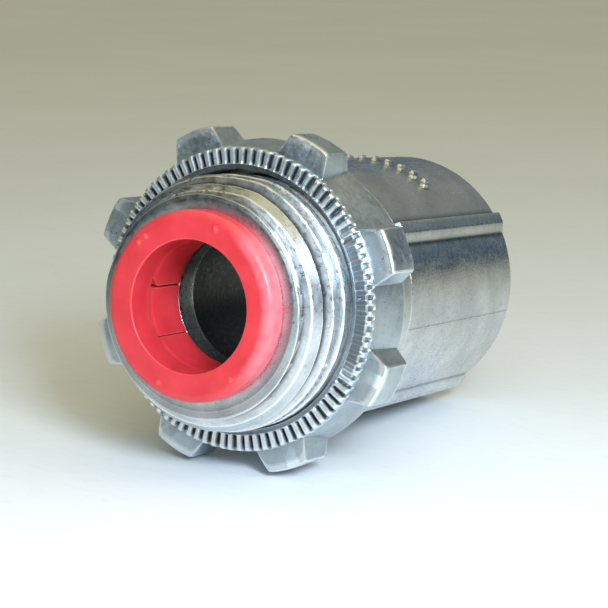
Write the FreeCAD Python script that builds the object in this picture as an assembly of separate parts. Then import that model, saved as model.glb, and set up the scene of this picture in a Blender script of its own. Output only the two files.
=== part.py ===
import FreeCAD, Part

import math
import os

from FreeCAD import Vector

# Compression connector for 3/8-inch flexible conduit, with a 1/2-inch trade knockout thread.
# Millimetres. The fitting's axis is +Y, with its nose towards -Y and +Z up.
# The origin is on the axis, in the front face of the shoulder, where the box wall sits.

# --- driving dimensions ---------------------------------------------------------------------
THREAD_PITCH = 25.4 / 14

THROAT_R = 5.33
CONDUIT_SOCKET_R = 7.45

NOSE_TIP_Y = -12.6
NOSE_METAL_Y = -10.9
NOSE_METAL_R = 8.55
NOSE_CHAMFER_Y = -10.6
NOSE_CHAMFER_R = 9.2
NOSE_THREAD_Y = -8.3
NOSE_THREAD_R = 10.6
NOSE_THREAD_DEPTH = 1.05
NOSE_NECK_Y = -0.9

SHOULDER_R = 11.9
SHOULDER_THICKNESS = 0.8
COLLAR_R = 11.3
COLLAR_REAR_Y = 4.46

SLEEVE_THREAD_R = 9.9
SLEEVE_THREAD_DEPTH = 0.75
SLEEVE_THREAD_Y = 6.2
SLEEVE_REAR_Y = 17.2

CONDUIT_STOP_Y = -3.0
STOP_BORE_R = 5.5
STOP_THICKNESS = 2.3

LOCKNUT_FRONT_Y = -5.4
LOCKNUT_REAR_Y = -0.65
LOCKNUT_R = 12.45
LOCKNUT_REAR_R = 13.2
LOCKNUT_TEETH = 92
LUG_COUNT = 8
LUG_TIP_R = 14.55

NUT_FRONT_Y = 4.56
NUT_REAR_Y = 25.5
NUT_R = 11.25
NUT_RIB_R = 11.8
PARTING_DEGREES = -10.25
RIB_OFF_PARTING_DEGREES = 42.75

RING_MAX_R = 9.05
RING_SLIT = 1.0

# --- fits -----------------------------------------------------------------------------------
CREST_CLEARANCE = 0.08
CONE_CLEARANCE = 0.15
SEAT_CLEARANCE = 0.1

AXIS = Vector(0, 1, 0)
ORIGIN = Vector(0, 0, 0)


def revolved(outline):
    """A solid turned about the fitting's axis from (y, radius) points."""
    points = [Vector(radius, y, 0) for y, radius in outline]
    face = Part.Face(Part.makePolygon(points + points[:1]))
    return face.revolve(ORIGIN, AXIS, 360)


def tube(inner, outer, front, rear):
    """A plain ring between two radii and two stations on the axis."""
    return revolved([(front, inner), (front, outer), (rear, outer), (rear, inner)])


def turned(shape, degrees):
    """A copy of a shape turned about the axis, from +X towards +Z."""
    copy = shape.copy()
    copy.rotate(ORIGIN, AXIS, -degrees)
    return copy


def ring_of(shape, count, first_degrees):
    """Evenly spaced copies of a shape about the axis."""
    return [turned(shape, first_degrees + 360 / count * k) for k in range(count)]


def helical_ridge(radius_low, radius_high, width_low, width_high, front, rear):
    """A right-hand thread ridge of one pitch, with a trapezoid section, along the axis."""
    helix = Part.makeHelix(THREAD_PITCH, rear - front, radius_low)
    corners = [
        Vector(radius_low, 0, -width_low / 2),
        Vector(radius_high, 0, -width_high / 2),
        Vector(radius_high, 0, width_high / 2),
        Vector(radius_low, 0, width_low / 2),
    ]
    section = Part.makePolygon(corners + corners[:1])
    ridge = Part.Wire(helix.Edges).makePipeShell([section], True, True)
    ridge.rotate(ORIGIN, Vector(1, 0, 0), -90)
    ridge.translate(Vector(0, front, 0))
    return ridge


def thread_groove(crest_radius, depth, front, rear):
    """The groove that leaves a thread of the given depth standing under a crest radius."""
    root_width = 0.18 * THREAD_PITCH
    crest_width = 0.80 * THREAD_PITCH
    over = 0.3
    top_width = crest_width + (crest_width - root_width) * over / depth
    low = crest_radius - depth
    return helical_ridge(low, crest_radius + over, root_width, top_width, front, rear)


# --- connector body -------------------------------------------------------------------------
BUSHING_SEAT_R = 6.7
SNAP_GROOVE_R = 7.15
SNAP_GROOVE_Y = -7.1
STOP_FRONT_Y = CONDUIT_STOP_Y - STOP_THICKNESS
MOUTH_SLOPE = 0.65
MOUTH_FRONT_Y = 15.2


def mouth_radius(y):
    """Radius of the body's rear mouth cone, which the compression ring wedges into."""
    return CONDUIT_SOCKET_R + MOUTH_SLOPE * (y - MOUTH_FRONT_Y)


def body_outline():
    edge = 0.25
    neck = NOSE_THREAD_R - NOSE_THREAD_DEPTH
    relief = SLEEVE_THREAD_R - SLEEVE_THREAD_DEPTH - 0.1
    shoulder_rear = SHOULDER_THICKNESS
    outside = [
        (NOSE_METAL_Y, NOSE_METAL_R),
        (NOSE_CHAMFER_Y, NOSE_CHAMFER_R),
        (NOSE_THREAD_Y, NOSE_THREAD_R),
        (NOSE_NECK_Y, NOSE_THREAD_R),
        (NOSE_NECK_Y, neck),
        (0, neck),
        (0, SHOULDER_R),
        (shoulder_rear, SHOULDER_R),
        (shoulder_rear + edge, COLLAR_R),
        (COLLAR_REAR_Y - edge / 2, COLLAR_R),
        (COLLAR_REAR_Y, COLLAR_R - edge / 2),
        (COLLAR_REAR_Y, relief),
        (SLEEVE_THREAD_Y, relief),
        (SLEEVE_THREAD_Y, SLEEVE_THREAD_R),
        (SLEEVE_REAR_Y - 2 * edge, SLEEVE_THREAD_R),
        (SLEEVE_REAR_Y, SLEEVE_THREAD_R - 2 * edge),
    ]
    inside = [
        (SLEEVE_REAR_Y, mouth_radius(SLEEVE_REAR_Y)),
        (MOUTH_FRONT_Y, CONDUIT_SOCKET_R),
        (CONDUIT_STOP_Y, CONDUIT_SOCKET_R),
        (CONDUIT_STOP_Y, STOP_BORE_R),
        (STOP_FRONT_Y, STOP_BORE_R),
        (STOP_FRONT_Y, SNAP_GROOVE_R),
        (SNAP_GROOVE_Y, SNAP_GROOVE_R),
        (SNAP_GROOVE_Y, BUSHING_SEAT_R),
        (NOSE_METAL_Y, BUSHING_SEAT_R),
    ]
    return outside + inside


def cut_thread(blank, groove):
    """Cut a thread's groove, and stop if the cut took no metal off."""
    threaded = blank.cut(groove)
    if threaded.Volume > 0.99 * blank.Volume:
        raise RuntimeError("the thread groove was not cut")
    return threaded


def connector_body():
    """Die-cast body: threaded nose, shoulder, collar and threaded rear sleeve in one casting."""
    nose_groove = thread_groove(
        NOSE_THREAD_R, NOSE_THREAD_DEPTH, NOSE_METAL_Y + 0.6, NOSE_NECK_Y - 0.2
    )
    sleeve_groove = thread_groove(
        SLEEVE_THREAD_R, SLEEVE_THREAD_DEPTH, COLLAR_REAR_Y + 1, SLEEVE_REAR_Y + THREAD_PITCH
    )
    body = revolved(body_outline())
    return cut_thread(cut_thread(body, nose_groove), sleeve_groove)


# --- throat bushing -------------------------------------------------------------------------
BUSHING_LIP_R = 7.68
BUSHING_SLEEVE_R = BUSHING_SEAT_R - SEAT_CLEARANCE
BUSHING_REAR_Y = STOP_FRONT_Y - 0.16
LIP_ROUND = 0.95
BORE_ROUND = 0.35
TAB_CENTRE_DEGREES = 194.5
TAB_HALF_DEGREES = 22
TAB_SLOT = 0.6
TAB_FRONT_Y = -9.9
BARB_R = 7.02


def quarter_round(y, radius, size, y_side, radius_side, steps=6):
    """Points of a rounded corner, from along the axis to along the radius."""
    points = []
    for k in range(steps + 1):
        angle = math.pi / 2 * k / steps
        points.append(
            (y + y_side * size * math.cos(angle), radius + radius_side * size * math.sin(angle))
        )
    return points


def bushing_outline():
    front_inner = quarter_round(
        NOSE_TIP_Y + BORE_ROUND, THROAT_R + BORE_ROUND, BORE_ROUND, -1, -1
    )
    front_outer = quarter_round(NOSE_TIP_Y + LIP_ROUND, BUSHING_LIP_R - LIP_ROUND, LIP_ROUND, -1, 1)
    rear = [
        (NOSE_METAL_Y, BUSHING_LIP_R),
        (NOSE_METAL_Y, BUSHING_SLEEVE_R),
        (BUSHING_REAR_Y, BUSHING_SLEEVE_R),
        (BUSHING_REAR_Y, THROAT_R),
    ]
    return front_inner[::-1] + front_outer + rear


def tab_slot(degrees):
    """A slot through the bushing's sleeve, open at its rear end, beside a snap tab."""
    corner = Vector(0, TAB_FRONT_Y, -TAB_SLOT / 2)
    slot = Part.makeBox(BARB_R + 1, BUSHING_REAR_Y - TAB_FRONT_Y + 1, TAB_SLOT, corner)
    return turned(slot, degrees)


def snap_barb(centre_degrees):
    """The wedge on the outside of one snap tab, which catches in the body's groove."""
    barb_front = SNAP_GROOVE_Y + 0.15
    barb_rear = barb_front + 1.1
    outline = [
        (barb_front, BUSHING_SLEEVE_R - 0.2),
        (barb_front, BARB_R),
        (barb_front + 0.3, BARB_R),
        (barb_rear, BUSHING_SLEEVE_R),
        (barb_rear, BUSHING_SLEEVE_R - 0.2),
    ]
    points = [Vector(radius, y, 0) for y, radius in outline]
    span = 2 * TAB_HALF_DEGREES - 8
    wedge = Part.Face(Part.makePolygon(points + points[:1])).revolve(ORIGIN, AXIS, -span)
    return turned(wedge, centre_degrees - span / 2)


def throat_bushing():
    """Plastic throat liner that snaps into the nose and covers the metal edge."""
    bushing = revolved(bushing_outline())
    for centre in (TAB_CENTRE_DEGREES, TAB_CENTRE_DEGREES + 180):
        for side in (-TAB_HALF_DEGREES, TAB_HALF_DEGREES):
            bushing = bushing.cut(tab_slot(centre + side))
        bushing = bushing.fuse(snap_barb(centre))
    return bushing.removeSplitter()


# --- locknut --------------------------------------------------------------------------------
TOOTH_DEPTH = 0.4
TOOTH_INNER_R = 11.12
LUG_FRONT_Y = LOCKNUT_FRONT_Y + 0.75
LUG_REAR_Y = LOCKNUT_REAR_Y - 0.35
LUG_TIP_WIDTH = 3.7
LUG_BASE_WIDTH = 4.7
LUG_EDGE = 0.35
FIRST_LUG_DEGREES = 22.5


def lug():
    """One driving lug, tapered towards its tip, standing out along +X."""
    base = LOCKNUT_R - 0.5
    corners = [
        (base, -LUG_BASE_WIDTH / 2),
        (LUG_TIP_R, -LUG_TIP_WIDTH / 2),
        (LUG_TIP_R, LUG_TIP_WIDTH / 2),
        (base, LUG_BASE_WIDTH / 2),
    ]
    points = [Vector(x, LUG_FRONT_Y, z) for x, z in corners]
    face = Part.Face(Part.makePolygon(points + points[:1]))
    block = face.extrude(Vector(0, LUG_REAR_Y - LUG_FRONT_Y, 0))
    tips = [e for e in block.Edges if e.BoundBox.XMin > LUG_TIP_R - 0.01]
    return block.makeChamfer(LUG_EDGE, tips)


def tooth_gap():
    """The radial V-cut between two serration teeth, open at the front face."""
    half = math.pi * TOOTH_INNER_R / LOCKNUT_TEETH * 0.42
    front = LOCKNUT_FRONT_Y - 0.1
    points = [
        Vector(TOOTH_INNER_R, front, -half),
        Vector(TOOTH_INNER_R, front, half),
        Vector(TOOTH_INNER_R, LOCKNUT_FRONT_Y + TOOTH_DEPTH, 0.12),
        Vector(TOOTH_INNER_R, LOCKNUT_FRONT_Y + TOOTH_DEPTH, -0.12),
    ]
    return Part.Face(Part.makePolygon(points + points[:1])).extrude(Vector(1.6, 0, 0))


def locknut():
    """Lock nut with eight driving lugs, a drafted rim and a serrated face that bites the box wall."""
    bore = NOSE_THREAD_R + CREST_CLEARANCE
    edge = 0.2
    ring = revolved(
        [
            (LOCKNUT_FRONT_Y + 0.35, bore),
            (LOCKNUT_FRONT_Y, bore + 0.35),
            (LOCKNUT_FRONT_Y, LOCKNUT_R - edge),
            (LOCKNUT_FRONT_Y + edge, LOCKNUT_R),
            (LOCKNUT_REAR_Y - edge, LOCKNUT_REAR_R),
            (LOCKNUT_REAR_Y, LOCKNUT_REAR_R - edge),
            (LOCKNUT_REAR_Y, bore + 0.35),
            (LOCKNUT_REAR_Y - 0.35, bore),
        ]
    )
    nut = ring.fuse(ring_of(lug(), LUG_COUNT, FIRST_LUG_DEGREES))
    gaps = ring_of(tooth_gap(), LOCKNUT_TEETH, 0)
    return nut.cut(Part.makeCompound(gaps))


# --- compression ring -----------------------------------------------------------------------
SEAT_SLOPE = 0.5
SEAT_FRONT_Y = 18.6
SEAT_FRONT_R = 9.6
SEAT_REAR_Y = 22.2
RING_BORE_R = CONDUIT_SOCKET_R + 0.15
RING_FRONT_Y = 16.2
RING_REAR_Y = 21.6
RING_SLIT_DEGREES = 140


def seat_radius(y):
    """Radius of the gland nut's inner cone, which squeezes the compression ring."""
    return SEAT_FRONT_R - SEAT_SLOPE * (y - SEAT_FRONT_Y)


def compression_ring():
    """Split steel ring with a cone at each end, which closes on the conduit."""
    front_cone_end = MOUTH_FRONT_Y + (RING_MAX_R + CONE_CLEARANCE - CONDUIT_SOCKET_R) / MOUTH_SLOPE
    rear_cone_start = SEAT_FRONT_Y + (SEAT_FRONT_R - RING_MAX_R - CONE_CLEARANCE) / SEAT_SLOPE
    ring = revolved(
        [
            (RING_FRONT_Y, RING_BORE_R),
            (RING_FRONT_Y, mouth_radius(RING_FRONT_Y) - CONE_CLEARANCE),
            (front_cone_end, RING_MAX_R),
            (rear_cone_start, RING_MAX_R),
            (RING_REAR_Y, seat_radius(RING_REAR_Y) - CONE_CLEARANCE),
            (RING_REAR_Y, RING_BORE_R),
        ]
    )
    length = RING_REAR_Y - RING_FRONT_Y + 2
    corner = Vector(0, RING_FRONT_Y - 1, -RING_SLIT / 2)
    slit = Part.makeBox(RING_MAX_R + 2, length, RING_SLIT, corner)
    return ring.cut(turned(slit, RING_SLIT_DEGREES))


# --- gland nut ------------------------------------------------------------------------------
NUT_THREAD_BORE_R = SLEEVE_THREAD_R + 0.15
NUT_THREAD_END_Y = 18.1
NUT_MOUTH_R = seat_radius(SEAT_REAR_Y)
RIB_STEEP_DEGREES = 4.6
RIB_SLOPE_DEGREES = 5
RIB_TOP_DEGREES = (-0.9, 4.0)


def polar(radius, degrees, y):
    """A point at a radius and an angle from +X towards +Z."""
    angle = math.radians(degrees)
    return Vector(radius * math.cos(angle), y, radius * math.sin(angle))


def grip_rib():
    """One lengthwise grip rib along +X, steep on its +Z flank and sloping on the other."""
    inner = NUT_R - 0.4
    y = NUT_FRONT_Y
    points = [
        polar(inner, -RIB_SLOPE_DEGREES, y),
        polar(NUT_R - 0.02, -RIB_SLOPE_DEGREES, y),
        polar(NUT_RIB_R - 0.08, RIB_TOP_DEGREES[0], y),
        polar(NUT_RIB_R, RIB_TOP_DEGREES[1], y),
        polar(NUT_R, RIB_STEEP_DEGREES, y),
        polar(inner, RIB_STEEP_DEGREES, y),
    ]
    face = Part.Face(Part.makePolygon(points + points[:1]))
    return face.extrude(Vector(0, NUT_REAR_Y - NUT_FRONT_Y, 0))


def grip_ribs():
    """Two ribs on each half of the nut, with their steep flanks turned from the parting line."""
    rib = grip_rib()
    mirrored = rib.mirror(ORIGIN, Vector(0, 0, 1))
    ribs = []
    for parting in (PARTING_DEGREES, PARTING_DEGREES + 180):
        ribs.append(turned(rib, parting + RIB_OFF_PARTING_DEGREES))
        ribs.append(turned(mirrored, parting - RIB_OFF_PARTING_DEGREES))
    return ribs


def nut_thread():
    """The nut's inner thread ridge, which runs in the groove of the body's rear sleeve."""
    flank_gap = 0.16
    crest_r = SLEEVE_THREAD_R - SLEEVE_THREAD_DEPTH + 0.2
    ridge = helical_ridge(
        crest_r,
        NUT_THREAD_BORE_R + 0.15,
        0.18 * THREAD_PITCH + 0.05,
        0.80 * THREAD_PITCH - 2 * flank_gap,
        COLLAR_REAR_Y + 1,
        SLEEVE_REAR_Y - 2,
    )
    return ridge.common(tube(8, NUT_R - 0.5, SLEEVE_THREAD_Y, SLEEVE_REAR_Y - 2.5))


def gland_nut():
    """Ribbed nut that screws onto the rear sleeve and squeezes the compression ring."""
    edge = 0.12
    rear_edge = 0.3
    barrel = revolved(
        [
            (NUT_FRONT_Y, NUT_THREAD_BORE_R),
            (NUT_FRONT_Y, NUT_R - edge),
            (NUT_FRONT_Y + edge, NUT_R),
            (NUT_REAR_Y - rear_edge, NUT_R),
            (NUT_REAR_Y, NUT_R - rear_edge),
            (NUT_REAR_Y, NUT_MOUTH_R + 0.4),
            (NUT_REAR_Y - 0.4, NUT_MOUTH_R),
            (SEAT_REAR_Y, NUT_MOUTH_R),
            (SEAT_FRONT_Y, SEAT_FRONT_R),
            (NUT_THREAD_END_Y, NUT_THREAD_BORE_R),
        ]
    )
    barrel = barrel.fuse(grip_ribs())
    return barrel.fuse(nut_thread())


NODES = {
    "connector_body": connector_body,
    "throat_bushing": throat_bushing,
    "locknut": locknut,
    "compression_ring": compression_ring,
    "gland_nut": gland_nut,
}


def main():
    os.makedirs("parts", exist_ok=True)
    for name, make in NODES.items():
        shape = make()
        print(name, len(shape.Solids), shape.isValid(), round(shape.Volume, 1))
        shape.exportStep(f"parts/{name}.step")


main()
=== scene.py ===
import itertools
import math

import bmesh
import bpy
import numpy as np
from mathutils import Matrix, Vector


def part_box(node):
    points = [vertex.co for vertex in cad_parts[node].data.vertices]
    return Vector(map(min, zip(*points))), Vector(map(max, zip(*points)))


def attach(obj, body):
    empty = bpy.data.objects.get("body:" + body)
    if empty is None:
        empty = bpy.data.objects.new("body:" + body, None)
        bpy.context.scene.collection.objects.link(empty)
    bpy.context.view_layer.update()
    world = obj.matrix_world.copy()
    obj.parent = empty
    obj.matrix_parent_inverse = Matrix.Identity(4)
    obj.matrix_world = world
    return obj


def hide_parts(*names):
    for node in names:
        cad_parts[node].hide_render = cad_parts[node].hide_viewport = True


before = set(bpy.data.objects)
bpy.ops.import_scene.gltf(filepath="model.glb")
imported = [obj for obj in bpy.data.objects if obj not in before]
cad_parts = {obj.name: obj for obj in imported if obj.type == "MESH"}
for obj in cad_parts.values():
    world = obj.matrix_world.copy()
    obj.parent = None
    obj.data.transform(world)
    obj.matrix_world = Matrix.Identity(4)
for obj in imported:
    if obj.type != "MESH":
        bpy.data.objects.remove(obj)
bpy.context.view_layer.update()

# Lengths are in millimetres until a mesh is made. The fitting's axis is +Y with the nose towards -Y,
# and an angle about it runs from +X towards +Z.
MM = 0.001
TURN = 2 * math.pi
PITCH = 25.4 / 14

# The size and seed of each surface's random lumps.
NOSE_LUMPS = (0.9, 3)
NOSE_PITS = (0.4, 5)
DULL_PATCHES = (0.45, 17)
SHEEN_PATCHES = (0.5, 29)
LOCKNUT_LUMPS = (1.1, 7)
NUT_LUMPS = (2.2, 13)

# Where creases are sharp, and how the values for the materials are worked out at each vertex.
SHARP_DEGREES = 38
# The hollow value is used to paint shade into grooves, and the inside value to paint shade on skins inside
# the bore.
HOLLOW_PASSES = 14
FULL_HOLLOW = 0.09
EDGE_GAIN = 4
INSIDE_SHADE_GAIN = 3
SOCKET_FRONT_Y = -2.9

# A point this near a plain surface counts as on it.
ON_SURFACE = 0.02


def ends(node):
    """The front and rear ends of a CAD node along the axis."""
    low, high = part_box(node)
    return low.y / MM, high.y / MM


# --- outlines and meshes --------------------------------------------------------------------


def soften(corners, steps=4):
    """A closed outline with rounded corners, from (y, radius, rounding) corners."""
    points = []
    for k, (y, radius, rounding) in enumerate(corners):
        here = np.array((y, radius))
        back = np.array(corners[k - 1][:2]) - here
        ahead = np.array(corners[(k + 1) % len(corners)][:2]) - here
        back_length, ahead_length = np.linalg.norm(back), np.linalg.norm(ahead)
        reach = min(rounding, 0.45 * back_length, 0.45 * ahead_length)
        if reach == 0:
            points.append(here)
            continue
        for t in np.linspace(0, 1, steps + 1):
            offset = (1 - t) ** 2 * back / back_length + t**2 * ahead / ahead_length
            points.append(here + reach * offset)
    return np.array(points)


def spread(points, longest):
    """The same closed outline with no span longer than longest(y, radius) at its middle."""
    out = []
    for here, there in zip(points, np.roll(points, -1, axis=0)):
        span = there - here
        parts = max(1, math.ceil(np.linalg.norm(span) / longest(*(here + span / 2))))
        out += [here + span * k / parts for k in range(parts)]
    return np.array(out)


def lathe(name, outline, angles, shape=None, closed=True):
    """A mesh turned about the axis from a closed outline; shape(y, radius, angle) may change it.

    When it isn't closed, the last angle isn't joined to the first, and both ends are capped.
    """
    y, radius, angle = np.broadcast_arrays(outline[:, :1], outline[:, 1:], angles)
    if shape:
        y, radius = shape(y.copy(), radius.copy(), angle)
    points = np.stack((radius * np.cos(angle), y, radius * np.sin(angle)), -1)
    index = np.arange(y.size).reshape(y.shape)
    beside = np.roll(index, -1, axis=1)
    faces = np.stack((index, beside, np.roll(beside, -1, axis=0), np.roll(index, -1, axis=0)), -1)
    faces = (faces if closed else faces[:, :-1]).reshape(-1, 4).tolist()
    if not closed:
        faces += [index[:, 0].tolist(), index[:, -1].tolist()]
    mesh = bpy.data.meshes.new(name)
    mesh.from_pydata((points.reshape(-1, 3) * MM).tolist(), [], faces)
    return piece(name, mesh)


def piece(name, mesh):
    """An object for a closed mesh, with its faces turned outwards."""
    work = bmesh.new()
    work.from_mesh(mesh)
    bmesh.ops.recalc_face_normals(work, faces=work.faces)
    work.to_mesh(mesh)
    work.free()
    obj = bpy.data.objects.new(name, mesh)
    bpy.context.scene.collection.objects.link(obj)
    return obj


def cut_away(obj, cutters):
    """Take closed meshes out of an object, which uses them up."""
    for cutter in cutters:
        modifier = obj.modifiers.new("cut", "BOOLEAN")
        modifier.operation = "DIFFERENCE"
        modifier.solver = "EXACT"
        modifier.object = cutter
    graph = bpy.context.evaluated_depsgraph_get()
    mesh = bpy.data.meshes.new_from_object(obj.evaluated_get(graph))
    obj.modifiers.clear()
    obj.data = mesh
    for cutter in cutters:
        bpy.data.objects.remove(cutter)


def read_vectors(items, name):
    """A three-part property of every item, as rows."""
    values = np.empty(len(items) * 3)
    items.foreach_get(name, values)
    return values.reshape(-1, 3)


def neighbour_mean(values, a, b, degree):
    """The mean of each vertex's neighbours, for values of three columns."""
    total = [
        np.bincount(a, values[b, k], len(degree)) + np.bincount(b, values[a, k], len(degree))
        for k in range(3)
    ]
    return np.stack(total, -1) / degree[:, None]


def finish_surface(obj):
    """Smooth shading with sharp creases, and values for the materials at each vertex.

    edge is above 0 on ridges, hollow is above 0 in grooves, and inside is above 0 on the skins that
    face the axis behind the stop. The materials paint shade in the grooves and on those skins.
    """
    mesh = obj.data
    mesh.shade_smooth()
    mesh.set_sharp_from_angle(angle=math.radians(SHARP_DEGREES))
    count = len(mesh.vertices)
    place = read_vectors(mesh.vertices, "co")
    normal = read_vectors(mesh.vertices, "normal")
    ends_of = np.empty(len(mesh.edges) * 2, int)
    mesh.edges.foreach_get("vertices", ends_of)
    a, b = ends_of.reshape(-1, 2).T
    degree = np.maximum(np.bincount(ends_of, minlength=count), 1)
    along = place[b] - place[a]
    along /= np.maximum(np.linalg.norm(along, axis=1, keepdims=True), 1e-9)
    leaving = np.bincount(a, (along * normal[a]).sum(1), count)
    arriving = np.bincount(b, (along * normal[b]).sum(1), count)
    smooth = place
    for _ in range(HOLLOW_PASSES):
        smooth = neighbour_mean(smooth, a, b, degree)
    sunk = ((smooth - place) * normal).sum(1) / (FULL_HOLLOW * MM)
    y, _, angle = cylindrical(mesh)
    facing_axis = -(np.cos(angle) * normal[:, 0] + np.sin(angle) * normal[:, 2])
    add_value(mesh, "edge", (arriving - leaving) / degree * EDGE_GAIN)
    add_value(mesh, "hollow", sunk)
    add_value(mesh, "inside", INSIDE_SHADE_GAIN * facing_axis * (y > SOCKET_FRONT_Y))


def cylindrical(mesh):
    """Station, radius and angle of every vertex."""
    x, y, z = read_vectors(mesh.vertices, "co").T / MM
    return y, np.hypot(x, z), np.arctan2(z, x)


def add_value(mesh, name, value):
    """A number at each vertex that the materials can read."""
    attribute = mesh.attributes.new(name, "FLOAT", "POINT")
    attribute.data.foreach_set("value", np.clip(value, -1, 1))


def lumps(points, size, seed):
    """Smooth random values from -1 to 1, in lumps of about the given size."""
    side = 32
    lattice = np.random.default_rng(seed).uniform(-1, 1, (side, side, side))
    low = np.floor(points / size).astype(int)
    t = points / size - low
    t = t * t * (3 - 2 * t)
    total = 0
    for corner in itertools.product((0, 1), repeat=3):
        cell = (low + corner) % side
        weight = np.prod(np.where(corner, t, 1 - t), axis=-1)
        total = total + weight * lattice[cell[..., 0], cell[..., 1], cell[..., 2]]
    return total


def cast_lumps(y, radius, angle, size, seed):
    """The lumps of a cast skin at points given by station, radius and angle."""
    points = np.stack((radius * np.cos(angle), y, radius * np.sin(angle)), -1)
    return lumps(points, size, seed)


def even_angles(count):
    """Angles that share a turn out evenly."""
    return np.arange(count) * TURN / count


def soft_clip(value, rounding=0.07):
    """A value held between 0 and 1, with rounded corners."""
    return (np.hypot(value, rounding) - np.hypot(value - 1, rounding) + 1) / 2


def window(value, low, high, fade):
    """1 between two limits, falling smoothly to 0 within a fade outside them."""
    t = np.clip(np.minimum(value - low, high - value) / fade + 1, 0, 1)
    return t * t * (3 - 2 * t)


def degrees_from(angle, centre):
    """Signed degrees from a centre, between -180 and 180."""
    return (np.degrees(angle) - centre + 180) % 360 - 180


def from_helix(y, angle, start):
    """Distance along the axis to the nearest turn of a right-hand helix that passes start."""
    turns = (y - start) / PITCH + angle / TURN
    return np.abs(turns - np.round(turns)) * PITCH


# --- connector body -------------------------------------------------------------------------
NOSE_FRONT_Y, SLEEVE_REAR_Y = ends("connector_body")
NOSE_TIP_R = 8.55
NOSE_CHAMFER_R = 9.2
NOSE_CREST_R = 10.6
FULL_CREST_Y = -8.3
NECK_FRONT_Y = -0.9
NECK_R = NOSE_CREST_R - 1.05
SHOULDER_R = 11.9
SHOULDER_REAR_Y = 0.8
COLLAR_R = 11.3
COLLAR_FRONT_Y = 1.05
COLLAR_REAR_Y = 4.46
SLEEVE_NECK_R = 9.05
SLEEVE_CREST_R = 9.9
SLEEVE_CREST_Y = 6.2
MOUTH_R = 8.75
MOUTH_FRONT_Y = 15.2
SOCKET_R = 7.45
STOP_R = 5.5
STOP_FRONT_Y = -5.3
STOP_REAR_Y = -3.0
SNAP_GROOVE_R = 7.15
SNAP_GROOVE_FRONT_Y = -7.1
SEAT_R = 6.7
BODY_COLUMNS = 288

# Spacing of the rows: close outside THREADED_R, where the threads are.
THREADED_R = 8.3
NOSE_ROW = 0.07
SLEEVE_ROW = 0.14
BODY_ROW = 0.6

# Both threads. The nose's starts at THREAD_RUNOUT_R and is full a little further out.
NOSE_GROOVE_START = NOSE_FRONT_Y + 0.6
NOSE_GROOVE_HALF = 0.27 * PITCH
NOSE_DEPTH = 1.0
THREAD_RUNOUT_R = 8.9
THREAD_RUNOUT = 0.7
THREAD_REAR_Y = -0.8
SLEEVE_GROOVE_START = COLLAR_REAR_Y + 1
SLEEVE_GROOVE_HALF = 0.4 * PITCH
SLEEVE_DEPTH = 0.75
GROOVE_ROUNDING = 0.03
GROOVE_FLANK = 0.8

# The sleeve's thread is cut in the skin outside and behind these.
SLEEVE_SKIN_R = SLEEVE_NECK_R - 0.1
SLEEVE_SKIN_Y = COLLAR_REAR_Y + 0.2

# The side of the nose, in degrees, where the crests are flattened, pitted and dull.
ROUGH_SIDE = 122
ROUGH_HALF = 34
ROUGH_FADE = 22
ROUGH_LOSS = 0.28
ROUGH_SHALLOWING = 0.45
SKIN_HEIGHT = 0.02
PIT_DEPTH = 0.15
PIT_LEVEL = 0.2
DULL_HALF = 36
DULL_FADE = 30
DULL_REAR_Y = -4
DULL_BORE_R = 8
DULL_STAIN = 0.75
DULL_MEAN = 0.75
DULL_SWING = 0.6

# Painted shade in the nose's grooves, from part of the way down them, and on its rim round the bushing.
ROOT_SHADE = 0.9
ROOT_SHADE_START = 0.4
ROOT_SHADE_FADE = 0.25
RIM_SHADE = 0.5
RIM_SHADE_RADII = (8.2, 9.05)
RIM_SHADE_FADE = 0.15
RIM_SHADE_REAR_Y = -10.3


def groove(y, angle, start, half_width):
    """How deep a point lies in a thread's groove, from 0 on the crest to 1 at the root."""
    inwards = (half_width - from_helix(y, angle, start)) / (GROOVE_FLANK * half_width)
    return soft_clip(inwards, GROOVE_ROUNDING)


def nose_groove(y, angle):
    """How deep a point lies in the nose thread's groove."""
    return groove(y, angle, NOSE_GROOVE_START, NOSE_GROOVE_HALF)


def cut_body_threads(y, radius, angle):
    """Both male threads, with the nose's cast skin and the rougher, flattened side of its crests."""
    nose = (radius > THREAD_RUNOUT_R) & (y < THREAD_REAR_Y)
    rough = window(degrees_from(angle, ROUGH_SIDE), -ROUGH_HALF, ROUGH_HALF, ROUGH_FADE)
    runout = np.clip((radius - THREAD_RUNOUT_R) / THREAD_RUNOUT, 0, 1)
    depth = NOSE_DEPTH * runout * (1 - ROUGH_SHALLOWING * rough)
    skin = cast_lumps(y, radius, angle, *NOSE_LUMPS)
    pits = np.clip(cast_lumps(y, radius, angle, *NOSE_PITS) - PIT_LEVEL, 0, 1)
    worn = radius - depth * nose_groove(y, angle) - ROUGH_LOSS * rough
    worn = worn + SKIN_HEIGHT * skin - PIT_DEPTH * rough * pits
    sleeve = (radius > SLEEVE_SKIN_R) & (y > SLEEVE_SKIN_Y)
    cut = SLEEVE_CREST_R - SLEEVE_DEPTH * groove(y, angle, SLEEVE_GROOVE_START, SLEEVE_GROOVE_HALF)
    radius = np.where(nose, np.minimum(worn, radius), radius)
    return y, np.where(sleeve, np.minimum(radius, cut), radius)


def body_step(y, radius):
    """Row spacing: close where the threads are."""
    if radius > THREADED_R and y < NECK_FRONT_Y:
        return NOSE_ROW
    if radius > THREADED_R and y > SLEEVE_GROOVE_START:
        return SLEEVE_ROW
    return BODY_ROW


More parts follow.
